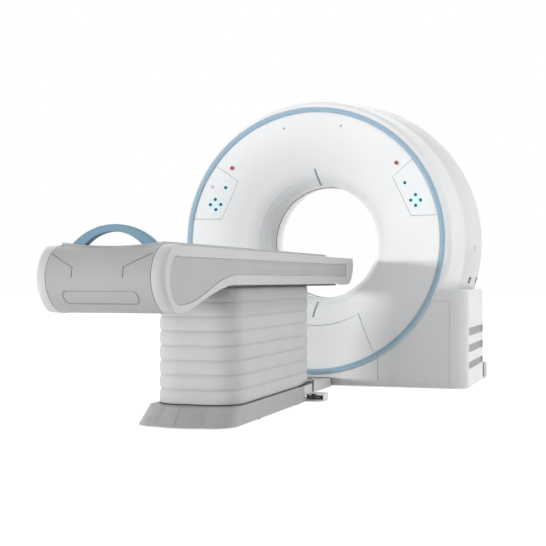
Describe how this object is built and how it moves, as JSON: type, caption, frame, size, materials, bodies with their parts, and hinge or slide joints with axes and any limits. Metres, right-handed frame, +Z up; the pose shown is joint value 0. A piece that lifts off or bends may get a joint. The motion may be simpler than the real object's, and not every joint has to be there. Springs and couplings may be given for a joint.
{
  "type": "ct scanner",
  "caption": "CT scanner: ring gantry with a round patient bore and control panels, and a couch that rises on a bellows-covered scissor lift and slides its table top in.",
  "frame": {"origin": "centre of the footprint, on the floor", "axes": "+Z up, +Y along the bore from the couch's foot end to the rear of the gantry, +X to the right for someone standing at the couch's foot end and facing the gantry"},
  "size_m": [2.1, 4.1621, 2.0162],
  "materials": {
    "white_cover": "smooth painted moulding, satin gloss",
    "grey_cover": "fine satin moulding",
    "light_grey_cover": "fine satin moulding",
    "panel_grey": "smooth membrane panel",
    "key_teal": "soft sealed keys",
    "stop_red": "glossy push button",
    "blue_trim": "glossy coloured plastic",
    "grille_grey": "satin slats",
    "dark_plastic": "matte dark moulding",
    "window_film": "dark translucent film",
    "frame_paint": "powder coat on welded steel",
    "zinc_steel": "zinc plated",
    "bearing_steel": "ground steel",
    "cast_aluminium": "cast and machined",
    "light_metal": "light enamel",
    "coil_copper": "lacquered windings",
    "slip_brass": "polished tracks",
    "bellows_fabric": "pleated coated fabric",
    "pedal_rubber": "ribbed rubber",
    "couch_white": "satin gloss moulding",
    "inset_grey": "fine satin moulding",
    "table_laminate": "laminated table skin"
  },
  "bodies": {
    "base": {"base_frame": "frame_paint", "leveling_feet": "zinc_steel", "main_frame": "frame_paint", "bearing_outer": "bearing_steel", "motor_stator": "coil_copper", "brush_block": "dark_plastic", "fan_shrouds": "dark_plastic", "scan_window": "window_film", "front_cover": "white_cover", "front_bore_ring": "white_cover", "rear_bore_ring": "white_cover", "blue_trim_ring": "blue_trim", "lower_front_panel": "white_cover", "fascia_panels": "grey_cover", "outer_shell": "white_cover", "side_covers": "white_cover", "side_grilles": "grille_grey", "rear_cover": "white_cover", "rear_base_cover": "light_grey_cover", "control_panels": "panel_grey", "panel_keys": "key_teal", "light_windows": "window_film", "couch_base_frame": "frame_paint", "couch_base_cover": "grey_cover", "lift_drive": "zinc_steel", "bellows": "bellows_fabric", "link_beam": "frame_paint", "link_cover": "light_grey_cover", "pedal_housing": "grey_cover"},
    "bearing_cage": {"bearing_rollers": "bearing_steel"},
    "rotor": {"rotor_drum": "cast_aluminium", "bearing_inner": "bearing_steel", "motor_magnets": "bearing_steel", "xray_tube": "light_metal", "collimator": "light_metal", "detector_arc": "light_metal", "data_modules": "frame_paint", "generator": "light_metal", "cooling_unit": "cast_aluminium", "slip_ring": "slip_brass"},
    "fan_r": {"fan_right": "dark_plastic"},
    "fan_l": {"fan_left": "dark_plastic"},
    "stop_r": {"stop_button_right": "stop_red"},
    "stop_l": {"stop_button_left": "stop_red"},
    "arm_a": {"scissor_arms_a": "frame_paint", "pins_a": "bearing_steel", "rollers_a": "bearing_steel"},
    "arm_b": {"scissor_arms_b": "frame_paint", "rollers_b": "bearing_steel"},
    "couch_top": {"couch_frame": "frame_paint", "guide_rails": "bearing_steel", "under_tray": "dark_plastic", "side_shells": "couch_white", "side_insets": "inset_grey", "barrel_cover": "inset_grey", "couch_deck": "light_grey_cover"},
    "table": {"table_carriage": "cast_aluminium", "tabletop": "table_laminate", "table_handle": "blue_trim"},
    "pedal": {"foot_pedal": "pedal_rubber"}
  },
  "joints": [
    {"name": "rotor_spin", "type": "hinge", "parent": "base", "child": "rotor", "pos_m": [0, 1.57101, 0.98], "axis": [0, 1, 0], "continuous": true},
    {"name": "cage_spin", "type": "hinge", "parent": "base", "child": "bearing_cage", "pos_m": [0, 1.691, 0.98], "axis": [0, 1, 0], "continuous": true},
    {"name": "fan_right_spin", "type": "hinge", "parent": "base", "child": "fan_r", "pos_m": [0.913, 1.5309, 0.3], "axis": [1, 0, 0], "continuous": true},
    {"name": "fan_left_spin", "type": "hinge", "parent": "base", "child": "fan_l", "pos_m": [-0.913, 1.5309, 0.3], "axis": [1, 0, 0], "continuous": true},
    {"name": "stop_right_press", "type": "slide", "parent": "base", "child": "stop_r", "axis": [0.2145, 0.9582, 0.1891], "range_m": [0, 0.004], "stiffness_N_per_m": 1200, "springref_m": -0.003},
    {"name": "stop_left_press", "type": "slide", "parent": "base", "child": "stop_l", "axis": [-0.2145, 0.9582, 0.1891], "range_m": [0, 0.004], "stiffness_N_per_m": 1200, "springref_m": -0.003},
    {"name": "lift", "type": "hinge", "parent": "base", "child": "arm_a", "pos_m": [0, 0.171, 0.075], "axis": [-1, 0, 0], "range_deg": [-22.85, 3.62], "deforming": ["bellows"]},
    {"name": "scissor_middle", "type": "hinge", "parent": "arm_a", "child": "arm_b", "pos_m": [0, -0.31252, 0.3575], "axis": [-1, 0, 0], "range_deg": [-7.34, 45.8]},
    {"name": "couch_top_level", "type": "hinge", "parent": "arm_b", "child": "couch_top", "pos_m": [0, 0.171, 0.64], "axis": [-1, 0, 0], "range_deg": [-22.95, 3.72]},
    {"name": "table_slide", "type": "slide", "parent": "couch_top", "child": "table", "axis": [0, 1, 0], "range_m": [0, 1.83]},
    {"name": "pedal_press", "type": "hinge", "parent": "base", "child": "pedal", "pos_m": [0.295, 0.203, 0.025], "axis": [1, 0, 0], "range_deg": [0, 4], "stiffness_Nm_per_rad": 8, "springref_deg": -5.73}
  ],
  "couplings": [
    {"joint": "cage_spin", "follows": "rotor_spin", "ratio": 0.48889},
    {"joint": "scissor_middle", "follows": "lift", "ratio": -2},
    {"joint": "couch_top_level", "follows": "lift", "ratio": 1}
  ]
}
